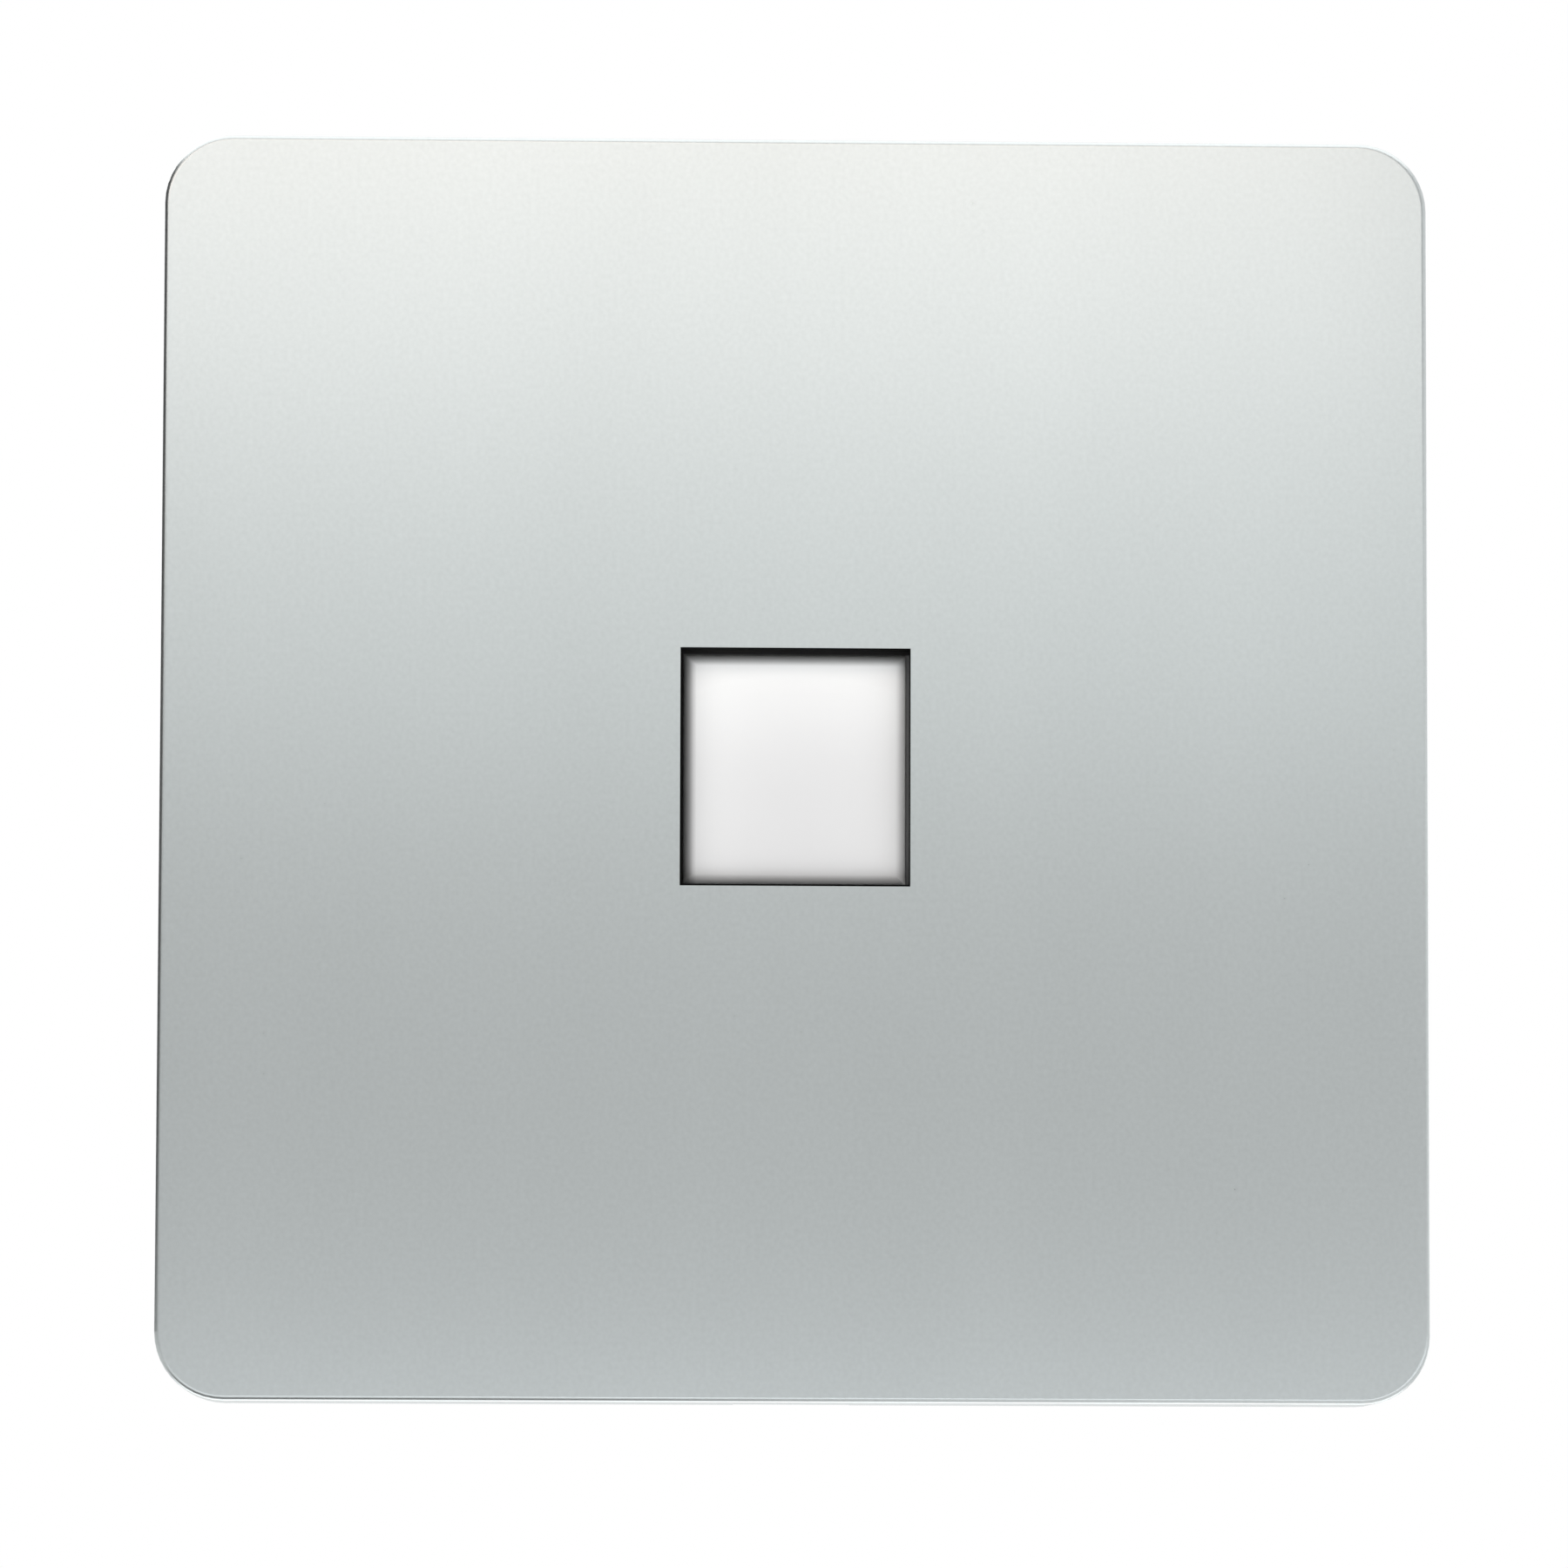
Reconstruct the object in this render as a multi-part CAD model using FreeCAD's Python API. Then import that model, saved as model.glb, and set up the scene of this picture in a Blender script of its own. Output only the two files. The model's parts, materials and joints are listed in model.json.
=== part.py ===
import FreeCAD, Part
import math
import os

# A one-gang data wall socket: a square screwless cover over a mounting frame, and a module with
# one eight-contact jack behind a sliding shutter.
# Millimetres. Seen from the front X is to the right, Y goes into the wall and Z is up.
# The origin is the middle of the cover's outline, on the wall plane.
V = FreeCAD.Vector
ORIGIN = V(0, 0, 0)
INTO_WALL = V(0, 1, 0)

# Cover: a moulded square with a skirt that reaches the wall.
plate_size = 87.0
plate_projection = 6.0
plate_skin = 1.5
plate_wall = 1.8
plate_corner = 4.7
plate_edge = 0.35
opening_width = 15.8
opening_height = 16.4
bead_length = 8.0
bead_offset = 25.0
bead_proud = 0.55
bead_setback = 0.3
bead_ramp = 0.8
bead_flat = 0.3
bead_undercut = 0.1
pry_width = 8.0
pry_depth = 1.0

# Mounting frame: a web with a rim, a well for the module and two bosses for the wall screws.
frame_gap = 0.3
frame_web = 1.6
frame_rim = 1.4
frame_rib = 1.2
brace_offset = 17.0
bead_play = 0.3
well_wall = 1.4
well_side_gap = 0.1
well_end_gap = 0.2
ledge_gap = 0.2
ledge_thickness = 1.2
boss_radius = 5.0
tongue_width = 6.0
tongue_slit = 0.6
tongue_room = 0.9
nub_reach = 0.4
nub_depth = 0.7
nub_room = 0.3

# Wall screws: countersunk, at the spacing of a one-gang wall box.
screw_spacing = 60.3
screw_radius = 1.75
screw_neck_radius = 1.55
screw_length = 24.9
screw_point = 0.8
head_radius = 3.5
head_rim = 0.25
head_sink = 0.3
seat_gap = 0.2
hole_gap = 0.15
hole_slot = 1.1
cross_length = 4.0
cross_width = 0.9
cross_depth = 1.4

# Module: a front shell, and behind it the holder that carries the jack and the circuit board.
module_gap = 0.2
module_face_wall = 1.0
module_side_wall = 1.2
module_depth = 5.9
module_corner = 0.8
window_margin = 0.4
holder_thickness = 2.0
holder_gap = 0.1
holder_corner = 0.5
shroud_wall = 1.3
catch_length = 4.0
catch_offset = 16.0
catch_proud = 0.5
catch_flat = 0.2
catch_ramp = 0.6
stop_rib = 1.2
stop_gap = 0.1
stop_ledge = 1.1
arm_width = 6.0
arm_thickness = 1.2
arm_hook = 0.8
arm_hook_flat = 0.4
arm_gap = 0.1
gusset_height = 2.0
gusset_depth = 3.0
shroud_corner = 0.6

# Shutter and the two springs that hold it up.
shutter_thickness = 1.2
shutter_gap = 0.15
shutter_overlap = 0.2
shutter_open_gap = 0.2
pad_margin = 0.22
pad_sink = 0.4
pad_edge = 0.7
ear_height = 3.8
ear_gap = 0.2
spring_outer = 2.2
spring_wire = 0.25
spring_turns = 10
spring_flats = 8
spring_side_gap = 0.3
spring_room = 0.2
spring_length = 19.5
groove_room = 0.1

# Jack: the housing round the plug's cavity, and a carrier with eight spring contacts in its roof.
cavity_width = 11.9
cavity_height = 6.8
cavity_depth = 11.2
cavity_floor = -2.2
key_width = 6.1
key_depth = 1.5
tab_width = 4.2
tab_depth = 0.9
jack_side = 1.85
jack_base = 1.8
jack_roof = 0.8
jack_depth = 13.6
jack_gap = 0.1
lug_proud = 0.8
lug_height = 4.0
lug_depth = 2.8
peg_radius = 1.4
peg_spacing = 5.0
peg_height = 1.7
peg_length = 2.4
relief_depth = 0.8
contact_pitch = 1.02
contact_width = 0.46
contact_thickness = 0.3
contact_bend = 0.6
contact_inner_bend = 0.48
contact_drop = 1.35
contact_tip_height = 4.65
contact_tip_gap = 1.0
contact_play = 0.05
contact_tail = 1.2
tail_row_step = 2.54
tail_bend = 0.5
tail_leg = 1.1
carrier_lift = 0.3
carrier_bed = 0.5
carrier_height = 1.6
carrier_side = 0.8
carrier_setback = 2.8
carrier_block = 2.2
carrier_toe = 0.66
pocket_front_gap = 0.3

# Circuit board and the two blocks of wire terminals behind it.
board_height = 26.0
board_thickness = 1.6
board_edge = 0.1
board_corner = 0.6
pad_hole = 0.4
idc_width = 6.4
idc_depth = 10.5
idc_base = 4.0
idc_pitch = 3.9
idc_end = 2.35
idc_board_edge = 0.4
idc_tail_gap = 0.3
wire_slot = 1.6
wire_mouth = 3.0
wire_mouth_depth = 1.5
slit_gap = 0.05
slit_end_gap = 0.15
slit_top_gap = 0.5
blade_thickness = 0.4
blade_width = 2.2
blade_length = 8.1
blade_slot = 0.35
blade_slot_depth = 5.0
blade_mouth = 0.9
blade_mouth_depth = 0.6
blade_tail_width = 0.8
blade_tail = 2.1
idc_peg_side = 1.0
idc_peg_length = 1.2
idc_peg_gap = 0.05

# Levels along Y, from the cover's face to the back of the terminals.
plate_front = -plate_projection
plate_back = plate_front + plate_skin
frame_front = plate_back + frame_gap
frame_web_back = frame_front + frame_web
module_front_y = plate_back + module_gap
module_wall_back = module_front_y + module_face_wall
pad_front = module_front_y + pad_sink
shutter_front = module_wall_back + shutter_gap
shutter_back = shutter_front + shutter_thickness
holder_front = shutter_back + shutter_gap
holder_back = holder_front + holder_thickness
ledge_front = module_front_y + module_depth
well_back = ledge_front + ledge_thickness
cavity_back = holder_front + cavity_depth
jack_back = holder_front + jack_depth
board_back = jack_back + board_thickness
idc_back = board_back + idc_depth

# Sizes across, from the opening outwards. The springs stand clear of the shutter and of the jack,
# and the module takes in both the shutter's ears and the circuit board.
inner_size = plate_size - 2 * plate_wall
inner_corner = plate_corner - plate_wall
frame_size = inner_size - 2 * frame_gap
frame_corner = inner_corner - frame_gap
window_width = opening_width + 2 * window_margin
window_height = opening_height + 2 * window_margin
shutter_half_width = window_width / 2 + shutter_overlap
shutter_half_height = window_height / 2 + shutter_overlap
jack_half = cavity_width / 2 + jack_side
spring_x = max(shutter_half_width, jack_half) + spring_side_gap + spring_outer / 2
spring_y = module_wall_back + spring_room + spring_outer / 2
ear_x = spring_x + spring_outer / 2
contact_half = 3.5 * contact_pitch + contact_width / 2
board_half_need = contact_half + idc_tail_gap + idc_width + idc_board_edge
module_inner_width = 2 * max(ear_x + ear_gap, board_half_need + board_edge + holder_gap)
module_width = module_inner_width + 2 * module_side_wall
key_floor = cavity_floor - key_depth
tab_floor = key_floor - tab_depth
shutter_travel = shutter_half_height - tab_floor + shutter_open_gap
module_inner_height = 2 * (shutter_half_height + shutter_travel + stop_gap + stop_ledge)
module_height = module_inner_height + 2 * module_side_wall
holder_width = module_inner_width - 2 * holder_gap
holder_height = module_inner_height - 2 * holder_gap
board_width = holder_width - 2 * board_edge
well_width = module_width + 2 * well_side_gap
well_height = module_height + 2 * well_end_gap
spring_top = shutter_half_height - ear_height
spring_bottom = spring_top - spring_length
groove_depth = spring_y + spring_outer / 2 + spring_room - holder_front

# The jack's section: cavity, contact carrier above it, then the roof.
cavity_roof = cavity_floor + cavity_height
carrier_floor = cavity_roof + carrier_lift
carrier_top = carrier_floor + carrier_height
carrier_front = holder_front + carrier_setback
carrier_half = contact_half + carrier_side
contact_run = carrier_floor + carrier_bed
lower_tail = contact_run - tail_row_step
jack_floor = tab_floor - jack_base
jack_top = carrier_top + jack_gap + jack_roof
peg_z = jack_floor + peg_height
idc_height = 3 * idc_pitch + 2 * idc_end
idc_x = board_width / 2 - idc_board_edge - idc_width / 2
wire_places = [(i - 1.5) * idc_pitch for i in range(4)]
contact_places = [(i - 3.5) * contact_pitch for i in range(8)]
screw_x = screw_spacing / 2


def around(middle, half):
    """A (low, high) pair about a middle."""
    return (middle - half, middle + half)


def box(x, y, z):
    """A box from three (low, high) pairs."""
    return Part.makeBox(x[1] - x[0], y[1] - y[0], z[1] - z[0], V(x[0], y[0], z[0]))


def block(width, height, y, radius=0.0):
    """A box centred on the Y axis, with its four edges along Y rounded."""
    body = box((-width / 2, width / 2), y, (-height / 2, height / 2))
    if radius > 0:
        along = [e for e in body.Edges if abs(e.tangentAt(e.FirstParameter).y) > 0.9]
        body = body.makeFillet(radius, along)
    return body


def rod(radius, x, y, z):
    """A cylinder along Y from y[0] to y[1]."""
    return Part.makeCylinder(radius, y[1] - y[0], V(x, y[0], z), INTO_WALL)


def prism_x(points, x):
    """A profile of (y, z) points, extruded along X."""
    corners = [V(x[0], y, z) for y, z in points]
    return Part.Face(Part.makePolygon(corners + corners[:1])).extrude(V(x[1] - x[0], 0, 0))


def prism_z(points, z):
    """A profile of (x, y) points, extruded along Z."""
    corners = [V(x, y, z[0]) for x, y in points]
    return Part.Face(Part.makePolygon(corners + corners[:1])).extrude(V(0, 0, z[1] - z[0]))


def other_side(shape):
    """The same piece on the other side of the middle, left for right."""
    return shape.mirror(ORIGIN, V(1, 0, 0))


def upside_down(shape):
    """The same piece above the middle for below it."""
    return shape.mirror(ORIGIN, V(0, 0, 1))


def both_sides(shape):
    return [shape, other_side(shape)]


def top_and_bottom(shape):
    return [shape, upside_down(shape)]


def round_the_square(shape):
    """Eight copies: one each side of the middle of all four sides."""
    copies = []
    for piece in both_sides(shape):
        for turn in range(4):
            copies.append(piece.rotated(ORIGIN, INTO_WALL, 90 * turn))
    return copies


def bent_strip(points, bends, thickness, x, width):
    """A flat strip of one width whose centre line runs through (y, z) points with rounded bends."""
    path = [V(x - width / 2, y, z) for y, z in points]
    lines = [(b - a).normalize() for a, b in zip(path, path[1:])]
    sides = [[], []]
    for i, bend in enumerate(bends):
        before, after = lines[i], lines[i + 1]
        turn = before.getAngle(after)
        inset = bend * math.tan(turn / 2)
        # The bend's centre lies on the inner side, at the bend's radius from both lines.
        inward = (after - before).normalize()
        centre = path[i + 1] + inward * (bend / math.cos(turn / 2))
        start = path[i + 1] - before * inset
        end = path[i + 1] + after * inset
        for side, sign in zip(sides, (1, -1)):
            across = V(0, -before.z, before.y) * sign
            reach = bend - thickness / 2 if across.dot(inward) > 0 else bend + thickness / 2
            side.append([centre + (p - centre).normalize() * reach for p in (start, path[i + 1], end)])
    outlines = []
    for side, sign in zip(sides, (1, -1)):
        first = path[0] + V(0, -lines[0].z, lines[0].y) * (sign * thickness / 2)
        last = path[-1] + V(0, -lines[-1].z, lines[-1].y) * (sign * thickness / 2)
        edges = []
        here = first
        for start, middle, end in side:
            edges.append(Part.makeLine(here, start))
            edges.append(Part.Arc(start, middle, end).toShape())
            here = end
        edges.append(Part.makeLine(here, last))
        outlines.append((first, last, edges))
    caps = [Part.makeLine(outlines[0][k], outlines[1][k]) for k in (0, 1)]
    loop = Part.Wire(Part.__sortEdges__(outlines[0][2] + outlines[1][2] + caps))
    return Part.Face(loop).extrude(V(width, 0, 0))


def front_plate():
    body = block(plate_size, plate_size, (plate_front, 0), plate_corner)
    face_edges = [e for e in body.Edges if e.BoundBox.YMax < plate_front + plate_edge / 2]
    body = body.makeFillet(plate_edge, face_edges)
    body = body.cut(block(inner_size, inner_size, (plate_back, 0), inner_corner))
    body = body.cut(block(opening_width, opening_height, (plate_front, plate_back)))
    body = body.cut(pry_notch())
    return body.fuse(round_the_square(snap_bead()))


def snap_bead():
    """A bead inside the skirt, steep at the front where it catches and sloped towards the wall."""
    root = -inner_size / 2
    tip = root + bead_proud
    back = -bead_setback
    crest = back - bead_ramp
    front = crest - bead_flat
    foot = root - plate_wall / 4
    profile = [(back, foot), (back, root), (crest, tip), (front, tip),
               (front - bead_undercut, root), (front - bead_undercut, foot)]
    return prism_x(profile, around(bead_offset, bead_length / 2))


def pry_notch():
    """The slot at the bottom edge for a screwdriver to lift the cover off."""
    return box((-pry_width / 2, pry_width / 2), (-pry_depth, 0), (-plate_size / 2, -inner_size / 2))


def mounting_frame():
    rim_inner = frame_size - 2 * frame_rim
    body = block(frame_size, frame_size, (frame_front, 0), frame_corner)
    body = body.cut(block(rim_inner, rim_inner, (frame_web_back, 0), frame_corner - frame_rim))
    outside = (well_width + 2 * well_wall, well_height + 2 * well_wall)
    well = block(*outside, (frame_front, well_back), well_wall)
    body = body.fuse([well] + frame_ribs(rim_inner) + frame_bosses())
    body = body.cut(block(well_width, well_height, (frame_front, ledge_front)))
    passage = (holder_width + 2 * ledge_gap, holder_height + 2 * ledge_gap)
    body = body.cut(block(*passage, (ledge_front, well_back)))
    body = body.cut([countersunk_hole(-screw_x, 0), countersunk_hole(screw_x, hole_slot)])
    body = body.cut(round_the_square(bead_notch()))
    for cut in tongue_cuts():
        body = body.cut(top_and_bottom(cut))
    return body.fuse(top_and_bottom(tongue_nub()))


def frame_ribs(rim_inner):
    """Ribs behind the web: through the bosses, beside the tongues and out to the corners."""
    half = frame_rib / 2
    reach = rim_inner / 2 + frame_rim / 2
    ribs = [box((-reach, reach), (frame_front, 0), (-half, half))]
    upright = box(around(tongue_width, half), (frame_front, 0), (-reach, reach))
    ribs += both_sides(upright)
    brace = box((-reach, reach), (frame_front, 0), around(brace_offset, half))
    ribs += top_and_bottom(brace)
    corner = V(well_width / 2, 0, well_height / 2)
    aim = V(rim_inner / 2, 0, rim_inner / 2) - corner
    slant = math.degrees(math.atan2(aim.z, aim.x))
    arm = box((0, aim.Length), (frame_front, 0), (-half, half))
    arm = arm.rotated(ORIGIN, INTO_WALL, -slant).translated(corner)
    for piece in both_sides(arm):
        ribs += top_and_bottom(piece)
    return ribs


def frame_bosses():
    return both_sides(rod(boss_radius, screw_x, (frame_front, 0), 0))


def countersunk_hole(x, stretch):
    """The hole for a wall screw, drawn out sideways into a slot by the stretch to each side."""
    mouth = head_radius + seat_gap
    bore = screw_radius + hole_gap
    rim = frame_front + head_sink + head_rim
    neck = rim + mouth - bore
    half = [(frame_front, mouth), (rim, mouth), (neck, bore), (0, bore)]
    profile = half + [(y, -r) for y, r in reversed(half)]
    spun = [V(r, y, 0) for y, r in half]
    outline = Part.makePolygon([V(0, frame_front, 0)] + spun + [V(0, 0, 0), V(0, frame_front, 0)])
    end = Part.Face(outline).revolve(ORIGIN, INTO_WALL, 360)
    if stretch == 0:
        return end.translated(V(x, 0, 0))
    ends = [end.translated(V(x + side * stretch, 0, 0)) for side in (-1, 1)]
    return prism_x(profile, (x - stretch, x + stretch)).fuse(ends)


def bead_notch():
    """The notch in the frame's rim that a bead of the cover snaps into, open towards the wall."""
    shoulder = -bead_setback - bead_ramp - bead_flat - bead_undercut - bead_undercut
    depth = bead_proud - frame_gap + bead_play
    half = bead_length / 2 + bead_play
    edge = -frame_size / 2
    return box(around(bead_offset, half), (shoulder, 0), (edge, edge + depth))


def tongue_cuts():
    """The slits that free a tongue of the well's wall, and the room behind it to bend."""
    half = tongue_width / 2
    wall = (well_height / 2, well_height / 2 + well_wall)
    slit = box((half, half + tongue_slit), (frame_front, ledge_front), wall)
    room = box((-half - tongue_slit, half + tongue_slit), (frame_front, ledge_front),
               (wall[1], wall[1] + tongue_room))
    return both_sides(slit) + [room]


def tongue_nub():
    """The sloped nub at a tongue's free end, over the module's front edge."""
    half = tongue_width / 2
    root = well_height / 2
    tip = root - well_end_gap - nub_reach
    back = frame_front + nub_depth
    profile = [(frame_front, root + well_wall / 2), (frame_front, root), (frame_front + nub_depth / 2, tip),
               (back, tip), (back, root + well_wall / 2)]
    return prism_x(profile, (-half, half))


def module_front():
    body = block(module_width, module_height, (module_front_y, ledge_front), module_corner)
    inside = block(module_inner_width, module_inner_height, (module_wall_back, ledge_front), 0)
    body = body.cut(inside)
    body = body.cut(shutter_window())
    body = body.cut(top_and_bottom(nub_rebate()))
    catches = []
    for catch in both_sides(holder_catch()):
        catches += top_and_bottom(catch)
    return body.fuse(shutter_stops() + catches)


def shutter_window():
    """The window in the module's face, drawn down for the shutter's raised pad to slide in."""
    half = window_height / 2
    level = (module_front_y, module_wall_back)
    return box(around(0, window_width / 2), level, (-half - shutter_travel, half))


def nub_rebate():
    """The step in the module's front edge under a tongue's nub."""
    half = tongue_width / 2 + nub_room
    edge = module_height / 2
    return box((-half, half), (module_front_y, frame_front + nub_depth), (edge - nub_reach - nub_room, edge))


def shutter_stops():
    """The rib over the shutter, the ledge under its open place, and ribs that steady the holder."""
    half = module_inner_width / 2
    top = module_inner_height / 2
    level = (module_wall_back, holder_front)
    over = box((-half, half), level, (shutter_half_height, shutter_half_height + stop_rib))
    under = box((-half, half), level, (-top, stop_ledge - top))
    upright = box((-stop_rib / 2, stop_rib / 2), level, (shutter_half_height, top))
    uprights = [upright.translated(V(side * half / 2, 0, 0)) for side in (-1, 1)]
    return [over, under] + uprights


def holder_catch():
    """A sloped catch on the shell's side wall that the holder's plate snaps past."""
    wall = module_inner_width / 2
    tip = wall - catch_proud
    deep = holder_back + catch_flat
    profile = [(wall + module_side_wall / 4, holder_back), (tip, holder_back), (tip, deep),
               (wall, deep + catch_ramp), (wall + module_side_wall / 4, deep + catch_ramp)]
    return prism_z(profile, around(catch_offset, catch_length / 2))


def jack_holder():
    body = block(holder_width, holder_height, (holder_front, holder_back), holder_corner)
    window = (jack_half + jack_gap, jack_floor - jack_gap, jack_top + jack_gap)
    outer = window[0] + shroud_wall
    height = (window[1] - shroud_wall, window[2] + shroud_wall)
    shroud = box((-outer, outer), (holder_front, jack_back), height)
    along = [e for e in shroud.Edges if abs(e.tangentAt(e.FirstParameter).y) > 0.9]
    shroud = shroud.makeFillet(shroud_corner, along)
    body = body.fuse([shroud] + top_and_bottom(board_arm()) + top_and_bottom(arm_gusset()))
    body = body.cut(box((-window[0], window[0]), (holder_front, jack_back), window[1:]))
    body = body.cut(both_sides(spring_groove()))
    body = body.cut(both_sides(lug(jack_gap)))
    return body.cut(both_sides(tail_relief()))


def board_arm():
    """A springy arm that reaches back from the holder and hooks over the circuit board's edge."""
    inner = board_height / 2 + arm_gap
    outer = inner + arm_thickness
    tip = inner - arm_gap - arm_hook
    crest = board_back + arm_hook_flat
    end = crest + arm_hook
    profile = [(holder_front, inner), (board_back, inner), (board_back, tip), (crest, tip),
               (end, inner), (end, outer), (holder_front, outer)]
    return prism_x(profile, (-arm_width / 2, arm_width / 2))


def arm_gusset():
    """The web that stiffens the foot of a board arm, on its outer side."""
    foot = board_height / 2 + arm_gap + arm_thickness / 2
    outer = foot + arm_thickness / 2
    profile = [(holder_front, foot), (holder_back + gusset_depth, foot), (holder_back + gusset_depth, outer),
               (holder_back, outer + gusset_height), (holder_front, outer + gusset_height)]
    return prism_x(profile, around(0, arm_thickness / 2))


def spring_groove():
    """The groove at the holder's edge that a spring and the shutter's ear run in."""
    inner = spring_x - spring_outer / 2 - groove_room
    top = shutter_half_height + ear_gap
    return box((inner, holder_width / 2), (holder_front, holder_front + groove_depth), (spring_bottom, top))


def lug(gap):
    """The jack's side lug, or with a gap the slot for it in the holder's shroud."""
    half = lug_height / 2 + gap
    return box((jack_half, jack_half + lug_proud + gap), (jack_back - lug_depth, jack_back), (-half, half))


def tail_relief():
    """Room in front of the board for the soldered tails of one row of wire terminals."""
    level = (jack_back - relief_depth, jack_back)
    return box(around(idc_x, relief_depth), level, around(0, wire_places[-1] + relief_depth))


def shutter():
    """The sliding panel, its rounded pad raised into the window, and an ear each side on a spring."""
    half = shutter_half_height
    body = box((-shutter_half_width, shutter_half_width), (shutter_front, shutter_back), (-half, half))
    inner = spring_x - spring_outer / 2
    deep = holder_front + groove_depth - shutter_gap
    ear = box((inner, ear_x), (shutter_front, deep), (spring_top, half))
    bridge = box((shutter_half_width, ear_x), (shutter_front, shutter_back), (spring_top, half))
    pad_size = (opening_width - 2 * pad_margin, opening_height - 2 * pad_margin)
    pad = block(*pad_size, (pad_front, shutter_back))
    rim = [e for e in pad.Edges if e.BoundBox.YMax < pad_front + pad_edge]
    pad = pad.makeFillet(pad_edge, rim)
    return body.fuse([pad] + both_sides(ear) + both_sides(bridge))


def shutter_spring():
    """A compression spring under one of the shutter's ears: a helix in short straight runs of wire."""
    radius = (spring_outer - spring_wire) / 2
    steps = spring_turns * spring_flats
    rise = (spring_length - spring_wire) / steps
    turn = 2 * math.pi / spring_flats
    angles = [turn * i for i in range(steps + 1)]
    points = [V(radius * math.cos(a), radius * math.sin(a), rise * a / turn) for a in angles]
    along = (points[1] - points[0]).normalize()
    across = V(0, 0, 1).cross(along).normalize()
    up = along.cross(across)
    corners = []
    for k in range(7):
        angle = math.radians(60 * k + 30)
        corners.append(points[0] + (across * math.cos(angle) + up * math.sin(angle)) * (spring_wire / 2))
    wire = Part.makePolygon(points).makePipeShell([Part.makePolygon(corners)], True, True, 1)
    return wire.translated(V(spring_x, spring_y, spring_bottom + spring_wire / 2))


def jack_housing():
    body = box((-jack_half, jack_half), (holder_front, jack_back), (jack_floor, jack_top))
    body = body.fuse(both_sides(lug(0)) + both_sides(board_peg(0)))
    steps = [(cavity_width, cavity_floor, cavity_roof), (key_width, key_floor, cavity_floor),
             (tab_width, tab_floor, key_floor)]
    for width, low, high in steps:
        body = body.cut(box((-width / 2, width / 2), (holder_front, cavity_back), (low, high)))
    half = carrier_half + jack_gap
    top = carrier_top + jack_gap
    roof = box((-half, half), (carrier_front - pocket_front_gap, jack_back), (cavity_roof, top))
    rear = box((-half, half), (cavity_back, jack_back), (lower_tail - carrier_toe - jack_gap, top))
    body = body.cut([roof, rear])
    return body.cut(both_sides(tail_relief()))


def board_peg(gap):
    """A peg behind the jack that places it on the circuit board, or with a gap the board's hole."""
    return rod(peg_radius + gap, peg_spacing / 2, (jack_back, jack_back + peg_length), peg_z)


def contact_carrier():
    """The comb that holds the eight contacts apart, with a groove along it for each."""
    half = carrier_half
    bar = box((-half, half), (carrier_front, jack_back), (carrier_floor, carrier_top))
    toe = box((-half, half), (jack_back - carrier_block, jack_back), (lower_tail - carrier_toe, carrier_top))
    body = bar.fuse(toe)
    for index in range(8):
        body = body.cut(carrier_grooves(index))
    return body


def carrier_grooves(index):
    """The groove for one contact's run, and for a lower tail the slot that it drops through."""
    x = around(contact_places[index], contact_width / 2 + contact_play)
    across = contact_thickness / 2 + contact_play
    top = contact_run + across
    grooves = [box(x, (carrier_front, jack_back), (carrier_floor, top))]
    if index % 2 == 1:
        grooves.append(box(x, (jack_back - tail_leg - across, jack_back), (lower_tail - across, top)))
    return grooves


def jack_contact(index):
    """One spring contact, from its tail behind the board, round the comb's front, to its tip."""
    nose = carrier_front - contact_play
    low = contact_run - contact_drop
    tip = (jack_back - carrier_block - contact_tip_gap, cavity_floor + contact_tip_height)
    front = [(nose, contact_run), (nose, low), tip]
    front_bends = [contact_bend, contact_inner_bend]
    end = board_back + contact_tail
    if index % 2 == 0:
        points = [(end, contact_run)] + front
        bends = front_bends
    else:
        leg = jack_back - tail_leg
        points = [(end, lower_tail), (leg, lower_tail), (leg, contact_run)] + front
        bends = [tail_bend, tail_bend] + front_bends
    return bent_strip(points, bends, contact_thickness, contact_places[index], contact_width)


def circuit_board():
    level = (jack_back, board_back)
    body = block(board_width, board_height, level, board_corner)
    holes = both_sides(board_peg(jack_gap))
    for index, x in enumerate(contact_places):
        row = contact_run if index % 2 == 0 else lower_tail
        holes.append(rod(pad_hole, x, level, row))
    thick = blade_thickness / 2 + slit_gap
    tall = blade_tail_width / 2 + slit_gap
    for z in wire_places:
        holes += both_sides(box(around(idc_x, thick), level, around(z, tall)))
    for peg in idc_pegs(idc_peg_gap):
        holes += both_sides(peg)
    return body.cut(holes)


def idc_block():
    """A block of four wire slots with pointed walls between them, and a slit for each contact."""
    x = around(idc_x, idc_width / 2)
    body = box(x, (board_back, idc_back), around(0, idc_height / 2))
    mouth = idc_back - wire_mouth_depth
    floor = board_back + idc_base
    slit_half = blade_thickness / 2 + slit_gap
    slit_top = board_back + blade_length + slit_top_gap
    slit_reach = blade_width / 2 + slit_end_gap
    for z in wire_places:
        profile = [(idc_back, z - wire_mouth / 2), (mouth, z - wire_slot / 2), (floor, z - wire_slot / 2),
                   (floor, z + wire_slot / 2), (mouth, z + wire_slot / 2), (idc_back, z + wire_mouth / 2)]
        slit = box(around(idc_x, slit_half), (board_back, slit_top), around(z, slit_reach))
        body = body.cut([prism_x(profile, x), slit])
    return body.fuse(idc_pegs(0))


def idc_pegs(gap):
    """The pegs that place a terminal block on the board, or with a gap the board's holes."""
    half = idc_peg_side / 2 + gap
    level = (board_back - idc_peg_length, board_back)
    peg = box(around(idc_x, half), level, around(idc_pitch, half))
    return top_and_bottom(peg)


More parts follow.
